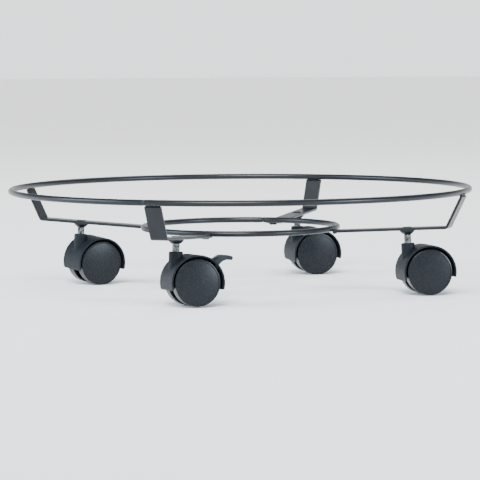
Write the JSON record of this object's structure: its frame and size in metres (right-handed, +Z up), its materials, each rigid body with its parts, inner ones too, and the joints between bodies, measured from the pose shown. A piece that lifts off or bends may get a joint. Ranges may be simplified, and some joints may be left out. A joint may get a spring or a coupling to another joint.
{
  "type": "plant pot caddy",
  "caption": "Round plant pot caddy: steel rod rings joined by flat-bar arms with leaning legs, standing on twin-wheel swivel casters, with a brake lever.",
  "frame": {"origin": "on the floor, under the common centre of the two rings", "axes": "+Z up; the arms lie along +X (right), +Y (back), -X (left) and -Y (front), and the braked caster is under the front arm"},
  "size_m": [0.4012, 0.4012, 0.0901],
  "materials": {
    "powder_coat": "satin charcoal powder coat",
    "body_plastic": "fine-textured black nylon",
    "wheel_plastic": "fine-textured black nylon",
    "lever_plastic": "black nylon",
    "zinc_steel": "bright zinc plate on a rolled thread",
    "axle_steel": "drawn steel",
    "spring_steel": "spring steel"
  },
  "bodies": {
    "frame": {"outer_ring": "powder_coat", "inner_ring": "powder_coat", "arm_right": "powder_coat", "arm_back": "powder_coat", "arm_left": "powder_coat", "arm_front": "powder_coat", "weld_nut_right": "powder_coat", "weld_nut_back": "powder_coat", "weld_nut_left": "powder_coat", "weld_nut_front": "powder_coat", "caster_stem_right": "zinc_steel", "caster_stem_back": "zinc_steel", "caster_stem_left": "zinc_steel", "caster_stem_front": "zinc_steel", "retaining_ring_right": "spring_steel", "retaining_ring_back": "spring_steel", "retaining_ring_left": "spring_steel", "retaining_ring_front": "spring_steel"},
    "caster_right": {"caster_body_right": "body_plastic", "axle_right": "axle_steel"},
    "caster_back": {"caster_body_back": "body_plastic", "axle_back": "axle_steel"},
    "caster_left": {"caster_body_left": "body_plastic", "axle_left": "axle_steel"},
    "caster_front": {"caster_body_front": "body_plastic", "axle_front": "axle_steel", "brake_pin": "axle_steel"},
    "wheel_right_a": {"wheel_right_a": "wheel_plastic"},
    "wheel_right_b": {"wheel_right_b": "wheel_plastic"},
    "wheel_back_a": {"wheel_back_a": "wheel_plastic"},
    "wheel_back_b": {"wheel_back_b": "wheel_plastic"},
    "wheel_left_a": {"wheel_left_a": "wheel_plastic"},
    "wheel_left_b": {"wheel_left_b": "wheel_plastic"},
    "wheel_front_a": {"wheel_front_a": "wheel_plastic"},
    "wheel_front_b": {"wheel_front_b": "wheel_plastic"},
    "brake_lever": {"brake_lever": "lever_plastic"}
  },
  "joints": [
    {"name": "swivel_right", "type": "hinge", "parent": "frame", "child": "caster_right", "pos_m": [0.15104, 0, 0.04388], "axis": [-0.0523, 0, 0.9986], "continuous": true},
    {"name": "swivel_back", "type": "hinge", "parent": "frame", "child": "caster_back", "pos_m": [0, 0.15101, 0.04428], "axis": [0, -0.0523, 0.9986], "continuous": true},
    {"name": "swivel_left", "type": "hinge", "parent": "frame", "child": "caster_left", "pos_m": [-0.15097, 0, 0.04519], "axis": [0.0523, 0, 0.9986], "continuous": true},
    {"name": "swivel_front", "type": "hinge", "parent": "frame", "child": "caster_front", "pos_m": [0, -0.15097, 0.04519], "axis": [0, 0.0523, 0.9986], "continuous": true},
    {"name": "roll_right_a", "type": "hinge", "parent": "caster_right", "child": "wheel_right_a", "pos_m": [0.16467, 0.00742, 0.01966], "axis": [-0.5143, 0.8572, -0.027], "continuous": true},
    {"name": "roll_right_b", "type": "hinge", "parent": "caster_right", "child": "wheel_right_b", "pos_m": [0.16467, 0.00742, 0.01966], "axis": [-0.5143, 0.8572, -0.027], "continuous": true},
    {"name": "roll_back_a", "type": "hinge", "parent": "caster_back", "child": "wheel_back_a", "pos_m": [0.01149, 0.16099, 0.01987], "axis": [-0.6032, 0.7965, 0.0417], "continuous": true},
    {"name": "roll_back_b", "type": "hinge", "parent": "caster_back", "child": "wheel_back_b", "pos_m": [0.01149, 0.16099, 0.01987], "axis": [-0.6032, 0.7965, 0.0417], "continuous": true},
    {"name": "roll_left_a", "type": "hinge", "parent": "caster_left", "child": "wheel_left_a", "pos_m": [-0.14301, 0.01102, 0.01984], "axis": [-0.7639, 0.6441, 0.04], "continuous": true},
    {"name": "roll_left_b", "type": "hinge", "parent": "caster_left", "child": "wheel_left_b", "pos_m": [-0.14301, 0.01102, 0.01984], "axis": [-0.7639, 0.6441, 0.04], "continuous": true},
    {"name": "roll_front_a", "type": "hinge", "parent": "caster_front", "child": "wheel_front_a", "pos_m": [0.01116, -0.14318, 0.01985], "axis": [-0.632, 0.7739, -0.0406], "continuous": true},
    {"name": "roll_front_b", "type": "hinge", "parent": "caster_front", "child": "wheel_front_b", "pos_m": [0.01116, -0.14318, 0.01985], "axis": [-0.632, 0.7739, -0.0406], "continuous": true},
    {"name": "brake", "type": "hinge", "parent": "caster_front", "child": "brake_lever", "pos_m": [0.01891, -0.13619, 0.0325], "axis": [-0.632, 0.7739, -0.0406], "range_deg": [0, 16]}
  ]
}
